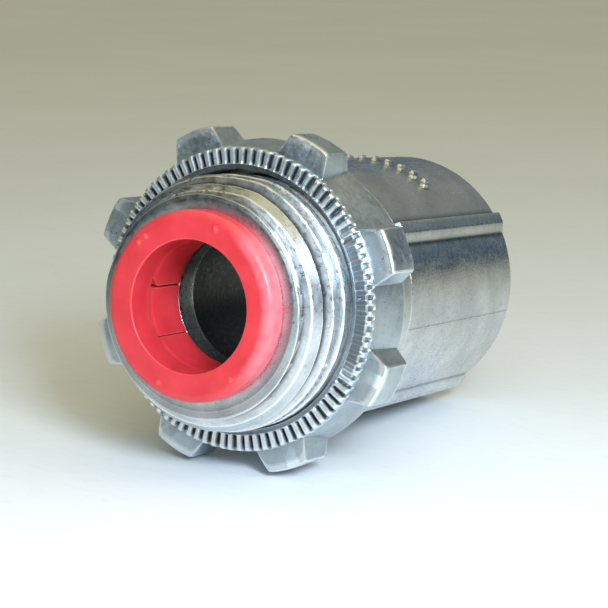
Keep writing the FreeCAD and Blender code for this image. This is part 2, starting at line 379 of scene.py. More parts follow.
def body_stain_and_shade(y, radius, angle):
    """Painted shade at the nose thread's root and round the bushing, and a dull rough side."""
    threaded = (radius > THREAD_RUNOUT_R) & (y < THREAD_REAR_Y)
    root = np.clip((nose_groove(y, angle) - ROOT_SHADE_START) / ROOT_SHADE_FADE, 0, 1) * threaded
    rim = window(radius, *RIM_SHADE_RADII, RIM_SHADE_FADE) * (y < RIM_SHADE_REAR_Y)
    dull = DULL_STAIN * window(degrees_from(angle, ROUGH_SIDE), -DULL_HALF, DULL_HALF, DULL_FADE)
    dull = dull * (y < DULL_REAR_Y) * (radius > DULL_BORE_R)
    dull = dull * (DULL_MEAN + DULL_SWING * cast_lumps(y, radius, angle, *DULL_PATCHES))
    return np.maximum(ROOT_SHADE * root, np.maximum(RIM_SHADE * rim, dull))


def connector_body():
    """The die-cast body: nose, shoulder, collar, sleeve, socket and stop."""
    outline = [
        (NOSE_FRONT_Y, SEAT_R, 0.1),
        (NOSE_FRONT_Y, NOSE_TIP_R, 0.08),
        (NOSE_FRONT_Y + 0.3, NOSE_CHAMFER_R, 0.12),
        (FULL_CREST_Y, NOSE_CREST_R, 0.3),
        (NECK_FRONT_Y, NOSE_CREST_R, 0.2),
        (NECK_FRONT_Y, NECK_R, 0.1),
        (0, NECK_R, 0.1),
        (0, SHOULDER_R, 0.15),
        (SHOULDER_REAR_Y, SHOULDER_R, 0.15),
        (COLLAR_FRONT_Y, COLLAR_R, 0.1),
        (COLLAR_REAR_Y, COLLAR_R, 0.07),
        (COLLAR_REAR_Y, SLEEVE_NECK_R, 0.1),
        (SLEEVE_CREST_Y, SLEEVE_NECK_R, 0.1),
        (SLEEVE_CREST_Y, SLEEVE_CREST_R, 0.2),
        (SLEEVE_REAR_Y, SLEEVE_CREST_R, 0.5),
        (SLEEVE_REAR_Y, MOUTH_R, 0.1),
        (MOUTH_FRONT_Y, SOCKET_R, 0.3),
        (STOP_REAR_Y, SOCKET_R, 0.1),
        (STOP_REAR_Y, STOP_R, 0.15),
        (STOP_FRONT_Y, STOP_R, 0.15),
        (STOP_FRONT_Y, SNAP_GROOVE_R, 0),
        (SNAP_GROOVE_FRONT_Y, SNAP_GROOVE_R, 0),
        (SNAP_GROOVE_FRONT_Y, SEAT_R, 0.1),
    ]
    points = spread(soften(outline), body_step)
    body = lathe("connector_casting", points, even_angles(BODY_COLUMNS), cut_body_threads)
    # Painted shade at the thread roots and round the bushing, with dull patches on the rough side.
    add_value(body.data, "stain_and_shade", body_stain_and_shade(*cylindrical(body.data)))
    return body


# --- throat bushing -------------------------------------------------------------------------
BUSHING_FRONT_Y, BUSHING_REAR_Y = ends("throat_bushing")
THROAT_R = 5.33
LIP_R = 7.68
LIP_REAR_Y = NOSE_FRONT_Y - 0.02
LINER_R = 6.6
BUSHING_COLUMNS = 256
TAB_CENTRES = (194.5, 14.5)
TAB_HALF = 22
TAB_FRONT_Y = -9.9
BARB_HALF = 17
BARB_Y = (-6.95, -6.65)
BARB_HEIGHT = 0.4
BARB_FADE = 0.1
WITNESS_Y = (TAB_FRONT_Y - 0.15, TAB_FRONT_Y + 0.1)
WITNESS_HEIGHT = 0.06
WITNESS_FADE = 0.15
DOT_CENTRES = (72, 130, 137, 250, 310)
DOT_RING_R = 6.75
DOT_HEIGHT = 0.09
DOT_R = 0.12
DOT_FADE = 0.2
LIP_FACE_DEPTH = 0.05

# The slots beside a tab: each one's half-width and its front relief, on the tab's low and high sides.
LOW_SLOT = (0.1, 0.85)
HIGH_SLOT = (0.05, 0.08)
RELIEF_LENGTH = 0.9
SLOT_OVERRUN = 1

# Spacing of the rows on the lip's front and elsewhere.
LIP_ROW = 0.13
LINER_ROW = 0.22
LIP_ROWS_DEPTH = 0.2

# Painted sheen: paler plastic on one side of the lip's outer edge, standing in for a highlight.
SHEEN_SIDE = 5
SHEEN_HALF = 32
SHEEN_FADE = 32
SHEEN_RADII = (7.1, 8)
SHEEN_EDGE_FADE = 0.7
SHEEN_MEAN = 0.85
SHEEN_SWING = 0.3


def mould_bushing(y, radius, angle):
    """Snap barbs on the liner, a witness line in the bore, and moulded dots on the lip's face."""
    for centre in TAB_CENTRES:
        on_tab = window(degrees_from(angle, centre), -BARB_HALF, BARB_HALF, 1)
        barb = window(y, *BARB_Y, BARB_FADE) * (radius > LINER_R - ON_SURFACE)
        radius = radius + BARB_HEIGHT * on_tab * barb
    witness = window(y, *WITNESS_Y, WITNESS_FADE) * (radius < THROAT_R + ON_SURFACE)
    radius = radius + WITNESS_HEIGHT * witness
    face = y < BUSHING_FRONT_Y + LIP_FACE_DEPTH
    for centre in DOT_CENTRES:
        across = np.radians(degrees_from(angle, centre)) * radius
        dot = window(np.hypot(across, radius - DOT_RING_R), -1, DOT_R, DOT_FADE)
        y = y - DOT_HEIGHT * dot * face
    return y, radius


def tab_slot(centre, side):
    """A cutter for the slot beside a snap tab; one side has a wider relief at its front end."""
    near, relief = LOW_SLOT if side < 0 else HIGH_SLOT
    corners = [
        (TAB_FRONT_Y, -near),
        (TAB_FRONT_Y, relief),
        (TAB_FRONT_Y + RELIEF_LENGTH, near),
        (BUSHING_REAR_Y + SLOT_OVERRUN, near),
        (BUSHING_REAR_Y + SLOT_OVERRUN, -near),
    ]
    middle = math.radians(centre + side * TAB_HALF)
    outwards = np.array((math.cos(middle), 0, math.sin(middle)))
    around = np.array((-math.sin(middle), 0, math.cos(middle))) * side
    work = bmesh.new()
    rings = []
    for radius in (THROAT_R - SLOT_OVERRUN, LIP_R):
        rings.append([
            work.verts.new((outwards * radius + around * w + np.array((0, y, 0))) * MM)
            for y, w in corners
        ])
    work.faces.new(rings[0])
    work.faces.new(rings[1])
    for k in range(len(corners)):
        work.faces.new((rings[0][k - 1], rings[0][k], rings[1][k], rings[1][k - 1]))
    mesh = bpy.data.meshes.new("slot")
    work.to_mesh(mesh)
    work.free()
    return piece("slot", mesh)


def bushing_step(y, radius):
    """Row spacing: close on the lip's rounded front."""
    return LIP_ROW if y < BUSHING_FRONT_Y + LIP_ROWS_DEPTH else LINER_ROW


def painted_lip_sheen(y, radius, angle):
    """Paler plastic on one side of the lip's outer edge, painted as a sheen."""
    near_edge = window(radius, *SHEEN_RADII, SHEEN_EDGE_FADE) * (y < NOSE_FRONT_Y)
    on_side = window(degrees_from(angle, SHEEN_SIDE), -SHEEN_HALF, SHEEN_HALF, SHEEN_FADE)
    patches = cast_lumps(y, radius, angle, *SHEEN_PATCHES)
    return near_edge * on_side * (SHEEN_MEAN + SHEEN_SWING * patches)


def throat_bushing():
    """The plastic liner and lip, with two snap tabs cut free at their sides."""
    outline = [
        (BUSHING_FRONT_Y, THROAT_R, 0.14),
        (BUSHING_FRONT_Y, LIP_R, 1.1),
        (LIP_REAR_Y, LIP_R, 0.1),
        (LIP_REAR_Y, LINER_R, 0.05),
        (BUSHING_REAR_Y, LINER_R, 0.1),
        (BUSHING_REAR_Y, THROAT_R, 0.2),
    ]
    points = spread(soften(outline, 7), bushing_step)
    bushing = lathe("throat_liner", points, even_angles(BUSHING_COLUMNS), mould_bushing)
    slots = [tab_slot(centre, side) for centre in TAB_CENTRES for side in (-1, 1)]
    cut_away(bushing, slots)
    # A painted sheen on one side of the lip.
    add_value(bushing.data, "sheen", painted_lip_sheen(*cylindrical(bushing.data)))
    return bushing


# --- locknut --------------------------------------------------------------------------------
LOCKNUT_FRONT_Y, LOCKNUT_REAR_Y = ends("locknut")
LOCKNUT_BORE_R = 10.68
LOCKNUT_R = 12.45
LOCKNUT_REAR_R = 13.2
LOCKNUT_SKIN = 0.025

# Each tooth's outline: where its columns stand in one tooth's share of the turn, and their heights.
TEETH = 92
TOOTH_DEPTH = 0.55
TOOTH_FOOT_R = 11.12
TOOTH_COLUMNS = (0.0, 0.14, 0.24, 0.31, 0.5, 0.69, 0.76, 0.86)
TOOTH_HEIGHTS = (0.0, 0.05, 0.8, 1.0, 1.04, 1.0, 0.8, 0.05)
TOOTH_RUNOUT = 0.68
RUNOUT_R = 12.1
TOOTH_SEED = 11
TOOTH_SHIFT = 0.05
LOWEST_TOOTH = 0.88
TOOTH_FOOT_FADE = 0.1

# The side, in degrees, where the teeth are worn flat.
WORN_SIDE = 5
WORN_HALF = 22
WORN_FADE = 18
WORN_LOSS = 0.95

# A lug's height over the rim, by degrees from its middle and by station along the axis.
LUGS = 8
FIRST_LUG = 22.5
LUG_TIP_R = 14.52
LUG_FLANK = (
    (0, 1.0), (5.0, 0.985), (6.9, 0.96), (7.3, 0.925), (7.6, 0.85), (9.2, 0.42), (10.4, 0.08), (10.9, 0.0),
)
LUG_ENDS = (
    (LOCKNUT_FRONT_Y + 0.74, 0.0), (LOCKNUT_FRONT_Y + 0.78, 0.92), (LOCKNUT_FRONT_Y + 0.86, 0.97),
    (LOCKNUT_FRONT_Y + 1.05, 1.0), (LOCKNUT_REAR_Y - 0.6, 1.0), (LOCKNUT_REAR_Y - 0.43, 0.97),
    (LOCKNUT_REAR_Y - 0.37, 0.9), (LOCKNUT_REAR_Y - 0.34, 0.0),
)
LUG_FOOT_R = 12.3
CAST_FRONT_Y = LOCKNUT_FRONT_Y + 0.6

# Columns closer than this, in radians, count as one. Rows are close across the toothed face.
NEAR_REPEAT = 0.0004
FACE_BORE_R = 11.1
FACE_ROWS_DEPTH = 0.3
FACE_ROW = 0.15
LOCKNUT_ROW = 0.5

# Wear and painted light on the toothed face: crowns bare and painted as a highlight,
# # painted shade in the gaps, and stain where worn and at the bore's edge.
CROWN_GAIN = 1.4
CROWN_DEPTH = 0.18
CROWN_OUTER_R = LOCKNUT_R - 0.06
GAP_RADII = (TOOTH_FOOT_R + 0.05, LOCKNUT_R - 0.1)
GAP_START = 0.1
GAP_FADE = 0.3
GAP_SHADE = 0.8
GAP_LOSS = 0.7
WORN_STAIN = 0.65
BORE_EDGE_DEPTH = 0.3
BORE_EDGE_STAIN = 0.3


def tooth_angles():
    """Column angles and heights for the ring's serration, each tooth a little different."""
    chance = np.random.default_rng(TOOTH_SEED)
    starts = np.arange(TEETH)[:, None] + chance.uniform(-TOOTH_SHIFT, TOOTH_SHIFT, (TEETH, 1))
    angles = (starts + np.array(TOOTH_COLUMNS)) * TURN / TEETH
    heights = np.array(TOOTH_HEIGHTS) * chance.uniform(LOWEST_TOOTH, 1.0, (TEETH, 1))
    return angles.ravel(), heights.ravel()


def rim_radius(y):
    """The ring's drafted rim, between its front and rear ends."""
    along = (y - LOCKNUT_FRONT_Y) / (LOCKNUT_REAR_Y - LOCKNUT_FRONT_Y)
    return LOCKNUT_R + (LOCKNUT_REAR_R - LOCKNUT_R) * along


def lug_height(y, angle):
    """How far a point on the rim belongs to a lug: 1 on its tip and 0 off it."""
    off = np.abs((np.degrees(angle) - FIRST_LUG + 180 / LUGS) % (360 / LUGS) - 180 / LUGS)
    across = np.interp(off, *np.array(LUG_FLANK).T)
    at, part = np.array(LUG_ENDS).T
    return across * np.interp(y, at, part)


def worn_flat(angle):
    """1 on the side where the teeth are worn and 0 away from it."""
    return window(degrees_from(angle, WORN_SIDE), -WORN_HALF, WORN_HALF, WORN_FADE)


def serrate(y, radius, angle):
    """Teeth on the front face, worn flat on one side, that run out on the rim, and the lugs."""
    cut = TOOTH_DEPTH * (1 - np.interp(angle, *tooth_angles(), period=TURN))
    flat = WORN_LOSS * worn_flat(angle)
    behind = y - LOCKNUT_FRONT_Y - ON_SURFACE
    on_face = np.clip((radius - TOOTH_FOOT_R) / TOOTH_FOOT_FADE, 0, 1) * (behind < 0)
    on_rim = np.clip(1 - behind / TOOTH_RUNOUT, 0, 1) * (radius > RUNOUT_R)
    on_lug = lug_height(y, angle) * (radius > LUG_FOOT_R)
    cast = (radius > LUG_FOOT_R) & (y > CAST_FRONT_Y)
    skin = LOCKNUT_SKIN * (1 + cast_lumps(y, radius, angle, *LOCKNUT_LUMPS)) * cast
    radius = radius + (LUG_TIP_R - radius) * on_lug - skin
    return y + cut * np.maximum(on_face * (1 - flat), on_rim), radius


def locknut_angles():
    """Columns at the teeth's corners and at the lugs' flanks, without near repeats."""
    middles = FIRST_LUG + 360 / LUGS * np.arange(LUGS)
    flanks = [middle + side * off for middle in middles for off, _ in LUG_FLANK[1:] for side in (-1, 1)]
    columns = np.sort(np.concatenate((tooth_angles()[0] % TURN, np.radians(flanks) % TURN)))
    return columns[np.diff(columns, prepend=-1) > NEAR_REPEAT]


def locknut_step(y, radius):
    """Row spacing: close across the toothed face."""
    on_face = radius > FACE_BORE_R and y < LOCKNUT_FRONT_Y + FACE_ROWS_DEPTH
    return FACE_ROW if on_face else LOCKNUT_ROW


def locknut_wear_and_light(y, radius, angle):
    """Material values: crowns bare and painted as a highlight, painted shade between, stain where worn."""
    behind = y - LOCKNUT_FRONT_Y
    flat = worn_flat(angle)
    crown = np.clip(CROWN_GAIN - behind / CROWN_DEPTH, 0, 1) * (radius > TOOTH_FOOT_R)
    between = (radius > GAP_RADII[0]) & (radius < GAP_RADII[1])
    gap = np.clip((behind - GAP_START) / GAP_FADE, 0, 1) * between
    bare_and_glint = crown * (1 - flat * (radius < CROWN_OUTER_R))
    bore_edge = (radius < TOOTH_FOOT_R) & (behind < BORE_EDGE_DEPTH)
    worn = np.maximum(WORN_STAIN * flat * crown, BORE_EDGE_STAIN * bore_edge)
    return bare_and_glint, np.maximum(GAP_SHADE * gap * (1 - GAP_LOSS * flat), worn)


def locknut():
    """The lock nut: toothed front face, drafted rim and lugs."""
    front, rear = LOCKNUT_FRONT_Y, LOCKNUT_REAR_Y
    outline = [
        (front + 0.18, LOCKNUT_BORE_R, 0.1),
        (front + 0.05, TOOTH_FOOT_R - 0.07, 0.08),
        (front, TOOTH_FOOT_R - 0.02, 0.02),
        (front, LOCKNUT_R, 0.22),
        (CAST_FRONT_Y, rim_radius(CAST_FRONT_Y), 0),
    ]
    outline += [(y, rim_radius(y), 0) for y, _ in LUG_ENDS]
    outline += [
        (rear, LOCKNUT_REAR_R, 0.2),
        (rear, LOCKNUT_BORE_R + 0.35, 0.1),
        (rear - 0.35, LOCKNUT_BORE_R, 0.1),
    ]
    points = spread(soften(outline, 3), locknut_step)
    ring = lathe("locknut_ring", points, locknut_angles(), serrate)
    # Crowns are paled by wear and as a painted highlight; the gaps get painted shade.
    bare_and_glint, stain_and_shade = locknut_wear_and_light(*cylindrical(ring.data))
    add_value(ring.data, "bare_and_glint", bare_and_glint)
    add_value(ring.data, "stain_and_shade", stain_and_shade)
    return ring


# --- compression ring -----------------------------------------------------------------------
RING_BORE_R = 7.6
RING_TIP_R = 7.95
RING_R = 9.05
RING_MIDDLE_R = 8.3
RING_BAND = (17.89, 19.4)
SLIT_DEGREES = 140
SLIT_WIDTH = 1.0
RING_COLUMNS = 180
RING_ROW = 0.5


def compression_ring():
    """The split ring, with a cone at each end."""
    front, rear = ends("compression_ring")
    outline = [
        (front, RING_BORE_R, 0.1),
        (front, RING_TIP_R, 0.08),
        (RING_BAND[0], RING_R, 0.2),
        (RING_BAND[1], RING_R, 0.2),
        (rear, RING_TIP_R, 0.08),
        (rear, RING_BORE_R, 0.1),
    ]
    points = spread(soften(outline), lambda y, radius: RING_ROW)
    half_slit = SLIT_WIDTH / 2 / RING_MIDDLE_R
    slit = math.radians(SLIT_DEGREES)
    angles = np.linspace(slit + half_slit, slit + TURN - half_slit, RING_COLUMNS)
    return lathe("split_ring", points, angles, closed=False)


# --- gland nut ------------------------------------------------------------------------------
NUT_FRONT_Y, NUT_REAR_Y = ends("gland_nut")
NUT_R = 11.25
NUT_OUTSIDE_R = 10.7
NUT_OUTSIDE_FADE = 0.4
NUT_SKIN = 0.012
NUT_BORE_R = 10.05
NUT_MOUTH_R = 7.8
CONE_REAR_Y = 22.2
CONE_FRONT_Y = 18.6
CONE_R = 9.6
BORE_REAR_Y = 18.1

# The thread's ridge, which runs in the sleeve's groove with some clearance.
RIDGE_HALF = 0.5655
RIDGE_FLANK = 0.377
RIDGE_HEIGHT = 0.85
RIDGE_ENDS = (6.5, 14.4)
RIDGE_END_FADE = 0.3
BORE_CLEARANCE = 0.15

# Two ribs in each half of the casting, mirrored about its parting lines. A rib's profile is its height
# by degrees from its middle, going away from the parting line.
PARTING = -10.25
PARTING_LINES = (PARTING, PARTING + 180)
PARTING_HEIGHT = 0.045
PARTING_HALF = 0.55
RIB_OFF_PARTING = 42.75
RIB_PROFILE = (
    (-5.6, 0.0), (-5.0, 0.03), (-4.4, 0.09), (-1.4, 0.42), (-0.9, 0.455), (-0.3, 0.47),
    (3.5, 0.54), (3.85, 0.53), (4.1, 0.45), (4.45, 0.08), (4.65, 0.02), (5.0, 0.0),
)

# Short raised bars on top of the barrel, in two staggered rows, by angle and station.
MARKS = [(56 + 3.4 * k, 15.4 + 1.3 * (k % 2)) for k in range(14)]
MARKED_DEGREES = (53, 104)
MARK_HALF_LENGTH = 0.35
MARK_HALF_WIDTH = 0.15
MARK_FADE = 0.15
MARK_HEIGHT = 0.28

# Columns in degrees: even ones, which keep clear of the close ones at ribs, seams and marks.
EVEN_STEP = 1.5
KEEP_CLEAR = 0.5
SEAM_COLUMNS = (-0.7, -0.35, 0, 0.35, 0.7)
MARK_STEP = 0.6

# Spacing of the rows in the threaded bore, where the marks are, and elsewhere.
THREAD_ROWS_R = 10.3
THREAD_ROWS_Y = (6, 15)
THREAD_ROW = 0.14
MARK_ROWS_R = 11
MARK_ROWS_Y = (14.2, 18)
MARK_ROW = 0.12
NUT_ROW = 0.5


def nut_angles():
    """Columns: even ones, with more beside the ribs, the parting lines and the raised marks."""
    close = [
        line + side * (RIB_OFF_PARTING + at)
        for line in PARTING_LINES for side in (-1, 1) for at, _ in RIB_PROFILE
    ]
    close += [line + at for line in PARTING_LINES for at in SEAM_COLUMNS]
    close += list(np.arange(*MARKED_DEGREES, MARK_STEP))
    even = [
        degrees for degrees in np.arange(0, 360, EVEN_STEP)
        if all(abs(degrees_from(math.radians(degrees), c)) > KEEP_CLEAR for c in close)
    ]
    return np.radians(sorted(degrees % 360 for degrees in close + even))


def raised_marks(y, angle):
    """1 on the short bars and 0 off them."""
    height = 0
    for centre, station in MARKS:
        across = np.abs(np.radians(degrees_from(angle, centre))) * NUT_R
        along = np.abs(y - station)
        in_width = window(across, -1, MARK_HALF_WIDTH, MARK_FADE)
        in_length = window(along, -1, MARK_HALF_LENGTH, MARK_FADE)
        height = np.maximum(height, in_width * in_length)
    return height


def form_nut(y, radius, angle):
    """Ribs, parting lines and marks outside, and the thread ridge inside."""
    outside = np.clip((radius - NUT_OUTSIDE_R) / NUT_OUTSIDE_FADE, 0, 1)
    at, height = np.array(RIB_PROFILE).T
    off = np.abs((np.degrees(angle) - PARTING + 90) % 180 - 90)
    proud = np.interp(off - RIB_OFF_PARTING, at, height)
    for line in PARTING_LINES:
        off = np.abs(degrees_from(angle, line))
        proud = proud + PARTING_HEIGHT * np.clip(1 - off / PARTING_HALF, 0, 1)
    proud = np.maximum(proud, MARK_HEIGHT * raised_marks(y, angle))
    skin = NUT_SKIN * cast_lumps(y, radius, angle, *NUT_LUMPS)
    radius = radius + (proud + skin) * outside
    ridge = soft_clip((RIDGE_HALF - from_helix(y, angle, SLEEVE_GROOVE_START)) / RIDGE_FLANK)
    ridge = ridge * window(y, *RIDGE_ENDS, RIDGE_END_FADE)
    inside = np.abs(radius - NUT_BORE_R) < ON_SURFACE
    threaded = NUT_BORE_R + BORE_CLEARANCE - RIDGE_HEIGHT * ridge
    return y, np.where(inside, np.minimum(radius, threaded), radius)


def nut_step(y, radius):
    """Row spacing: close in the threaded bore, and closer where the marks are."""
    if radius < THREAD_ROWS_R and THREAD_ROWS_Y[0] < y < THREAD_ROWS_Y[1]:
        return THREAD_ROW
    if radius > MARK_ROWS_R and MARK_ROWS_Y[0] < y < MARK_ROWS_Y[1]:
        return MARK_ROW
    return NUT_ROW


def gland_nut():
    """The gland nut: ribbed barrel, threaded bore and the cone that closes the ring."""
    outline = [
        (NUT_FRONT_Y, NUT_BORE_R, 0.1),
        (NUT_FRONT_Y, NUT_R, 0.07),
        (NUT_REAR_Y, NUT_R, 0.35),
        (NUT_REAR_Y, NUT_MOUTH_R + 0.4, 0.15),
        (NUT_REAR_Y - 0.4, NUT_MOUTH_R, 0.1),
        (CONE_REAR_Y, NUT_MOUTH_R, 0.2),
        (CONE_FRONT_Y, CONE_R, 0.2),
        (BORE_REAR_Y, NUT_BORE_R, 0.1),
    ]
    points = spread(soften(outline), nut_step)
    nut = lathe("gland_nut_barrel", points, nut_angles(), form_nut)
    y, radius, angle = cylindrical(nut.data)
    # The marks' tops are painted pale as a glint.
    add_value(nut.data, "bare_and_glint", raised_marks(y, angle) * (radius > NUT_R))
    return nut


# --- materials ------------------------------------------------------------------------------
# Pale metal for rubbed ridges, also painted as a highlight on ridges, tooth crowns and marks.
RUBBED_AND_GLINT_COLOUR = (0.90, 0.92, 0.92)
# Near black, painted as shade on the skins inside the bore.
INSIDE_SHADE_COLOUR = (0.025, 0.025, 0.027)
CORAL = (0.72, 0.045, 0.055)
DEEP_CORAL = (0.62, 0.03, 0.04)
# Paler corals painted as a highlight on the edges and as a sheen on the lip.
HIGHLIGHT_CORAL = (0.85, 0.16, 0.15)
SHEEN_CORAL = (0.74, 0.33, 0.37)
TABLE_LIGHT = (0.83, 0.84, 0.83)
TABLE_DARK = (0.79, 0.80, 0.79)
# The sheet's front, painted paler as a pool of light.
TABLE_LIT_FRONT = (0.92, 0.93, 0.93)
FIBRE_COLOUR = (0.55, 0.56, 0.55)

# The lumps of the metal's noises in millimetres, and limits that hold most of a noise's values.
MOTTLE_SIZE = 3.5
FINE_SIZE = 0.45
GRAIN_SIZE = 0.12
DRAG_SIZE = 0.5
NOISE_MIDDLE = (0.35, 0.65)
NOISE_MOST = (0.3, 0.7)

# How much of the dark colour's light is left in its spots, and in its stains and painted shade.
SPOT_SHADE = 0.62
STAIN_AND_SHADE_PART = 0.16


def wire(tree, kind, inputs=None, **settings):
    """A shader node with its settings, whose inputs are numbers or other nodes' outputs."""
    node = tree.nodes.new("ShaderNode" + kind)
    for key, value in settings.items():
        setattr(node, key, value)
    for key, value in (inputs or {}).items():
        if isinstance(value, bpy.types.NodeSocket):
            tree.links.new(value, node.inputs[key])
        else:
            node.inputs[key].default_value = value
    return node


def noise(tree, place, size, detail=4, rough=0.55, stretch=(1, 1, 1)):
    """Noise whose lumps measure about size millimetres, stretched along an axis or not."""
    scaled = wire(tree, "Mapping", {"Vector": place, "Scale": [s / (size * MM) for s in stretch]})
    node = wire(tree, "TexNoise", {
        "Vector": scaled.outputs["Vector"], "Scale": 1.0, "Detail": detail, "Roughness": rough})
    return node.outputs["Fac"]


def ramp(tree, value, low, high, start, end):
    """A value between two limits mapped to another range, and held there."""
    return wire(tree, "MapRange", {
        "Value": value, "From Min": low, "From Max": high, "To Min": start, "To Max": end,
    }).outputs["Result"]


def blend_colours(tree, amount, first, second):
    """The first colour where amount is 0 and the second where it is 1."""
    node = wire(tree, "Mix", {"Factor": amount}, data_type="RGBA")
    for socket, colour in (("A", first), ("B", second)):
        target = [s for s in node.inputs if s.identifier == socket + "_Color"][0]
        if isinstance(colour, bpy.types.NodeSocket):
            tree.links.new(colour, target)
        else:
            target.default_value = (*colour, 1)
    return [s for s in node.outputs if s.identifier == "Result_Color"][0]


def shade(colour, part):
    """A colour with only part of its light."""
    return [channel * part for channel in colour]


def start_material(name):
    """A material with an empty tree, and the place on the object in metres."""
    material = bpy.data.materials.new(name)
    material.use_nodes = True
    tree = material.node_tree
    tree.nodes.clear()
    place = wire(tree, "TexCoord").outputs["Object"]
    return material, tree, place


def close_material(tree, shader):
    """Join the shader to the material's output."""
    wire(tree, "OutputMaterial", {"Surface": shader.outputs["BSDF"]})


def read_value(tree, name, low, high, most):
    """A value kept at the vertices, mapped from 0 to most between two limits."""
    value = wire(tree, "Attribute", attribute_name=name).outputs["Fac"]
    return ramp(tree, value, low, high, 0.0, most)


def larger(tree, first, second):
    """The larger of two values at each point."""
    return wire(tree, "Math", {0: first, 1: second}, operation="MAXIMUM").outputs["Value"]


def zinc(name, light, dark, rough, grain_depth, stretch=(1, 1, 1), hollow_shade=0.9, wear_and_glint=0.9):
    """Die-cast zinc: mottled skin, fine grain, drag marks, painted shade in hollows, and ridges paled by
    wear and by painted highlight.

    rough is the mean roughness, grain_depth is in millimetres, stretch draws the drag marks out,
    and the last two are how strongly the hollows are darkened by painted shade and the ridges brighten
    by wear and painted highlight.
    """
    material, tree, place = start_material(name)
    broad = noise(tree, place, MOTTLE_SIZE, 3)
    fine = noise(tree, place, FINE_SIZE, 5, 0.65)
    grain = noise(tree, place, GRAIN_SIZE, 3, 0.7)
    drag = noise(tree, place, DRAG_SIZE, 5, 0.7, stretch)
    colour = blend_colours(tree, ramp(tree, broad, *NOISE_MIDDLE, 0.0, 1.0), light, dark)
    spotted = ramp(tree, fine, 0.58, 0.72, 0.0, 0.55)
    colour = blend_colours(tree, spotted, colour, shade(dark, SPOT_SHADE))
    # Painted shade in hollows, and the stains and painted shade kept at the vertices, darken the colour.
    hollow = read_value(tree, "hollow", 0.1, 0.8, hollow_shade)
    stain_and_shade = read_value(tree, "stain_and_shade", 0.0, 1.0, 1.0)
    colour = blend_colours(tree, larger(tree, hollow, stain_and_shade), colour, shade(dark, STAIN_AND_SHADE_PART))
    # Ridges, crowns and marks are paled by wear and as a painted highlight.
    edge = read_value(tree, "edge", 0.06, 0.38, wear_and_glint)
    bare_and_glint = read_value(tree, "bare_and_glint", 0.2, 0.9, 0.9)
    colour = blend_colours(tree, larger(tree, edge, bare_and_glint), colour, RUBBED_AND_GLINT_COLOUR)
    # Skins inside the bore are painted near black as shade.
    colour = blend_colours(tree, read_value(tree, "inside", 0.2, 0.9, 0.94), colour, INSIDE_SHADE_COLOUR)
    spots = ramp(tree, fine, *NOISE_MOST, rough - 0.1, rough + 0.14)
    streaks = wire(
        tree, "Math", {0: spots, 1: ramp(tree, drag, *NOISE_MOST, -0.06, 0.08)}, operation="ADD")
    normal = None
    for height, depth in ((grain, 1.0), (fine, 1.6), (drag, 1.2)):
        inputs = {"Height": height, "Distance": grain_depth * depth * MM, "Strength": 1.0}
        if normal:
            inputs["Normal"] = normal
        normal = wire(tree, "Bump", inputs).outputs["Normal"]
    shader = wire(tree, "BsdfPrincipled", {
        "Base Color": colour,
        "Metallic": 1.0,
        "Roughness": streaks.outputs["Value"],
        "Normal": normal,
    })
    close_material(tree, shader)
    return material


def coral_plastic():
    """Moulded coral-red plastic: faint flow marks, a fine skin, edges painted paler as a highlight,
    and a painted sheen on the lip.
    """
    material, tree, place = start_material("coral_plastic")
    flow = noise(tree, place, 2.5, 4)
    skin = noise(tree, place, 0.15, 3, 0.6)
    colour = blend_colours(tree, ramp(tree, flow, *NOISE_MIDDLE, 0, 1), CORAL, DEEP_CORAL)
    # Edges painted paler as a highlight, and a painted sheen on the lip.
    colour = blend_colours(tree, read_value(tree, "edge", 0.08, 0.35, 0.35), colour, HIGHLIGHT_CORAL)
    colour = blend_colours(tree, read_value(tree, "sheen", 0.1, 1.0, 0.42), colour, SHEEN_CORAL)
    bumps = wire(tree, "Bump", {"Height": skin, "Distance": 0.006 * MM, "Strength": 1.0})
    waves = wire(tree, "Bump", {
        "Height": flow, "Distance": 0.04 * MM, "Strength": 1.0, "Normal": bumps.outputs["Normal"]})
    shader = wire(tree, "BsdfPrincipled", {
        "Base Color": colour,
        "Roughness": ramp(tree, skin, *NOISE_MOST, 0.3, 0.42),
        "Normal": waves.outputs["Normal"],
        "Subsurface Weight": 0.25,
        "Subsurface Radius": (1.0, 0.3, 0.25),
        "Subsurface Scale": 0.6 * MM,
        "IOR": 1.5,
    })
    close_material(tree, shader)
    return material


def pale_table():
    """A pale papery sheet, painted paler towards the front as a pool of light."""
    material, tree, place = start_material("pale_table")
    broad = noise(tree, place, 40, 3)
    fine = noise(tree, place, 1.2, 4)
    colour = blend_colours(tree, ramp(tree, broad, *NOISE_MOST, 0, 1), TABLE_LIGHT, TABLE_DARK)
    along = wire(tree, "SeparateXYZ", {"Vector": place}).outputs["Y"]
    # A painted pool of light towards the front.
    lit_front = ramp(tree, along, 0.03, -0.02, 0.0, 0.6)
    colour = blend_colours(tree, lit_front, colour, TABLE_LIT_FRONT)
    fibres = noise(tree, place, 0.7, 4, 0.65, (0.3, 1, 1))
    colour = blend_colours(tree, ramp(tree, fibres, 0.5, 0.75, 0.0, 0.16), colour, FIBRE_COLOUR)
    bumps = wire(tree, "Bump", {"Height": fine, "Distance": 0.02 * MM, "Strength": 1.0})
    shader = wire(tree, "BsdfPrincipled", {
        "Base Color": colour, "Roughness": 0.55, "Normal": bumps.outputs["Normal"]})
    close_material(tree, shader)
    return material


# --- stage, light and camera ----------------------------------------------------------------
TABLE_HALF = 3.0
TABLE_GAP = 0.02

# How far in front of each piece's rear end it rests on the table.
LUG_REST = 0.6
BARREL_REST = 0.3


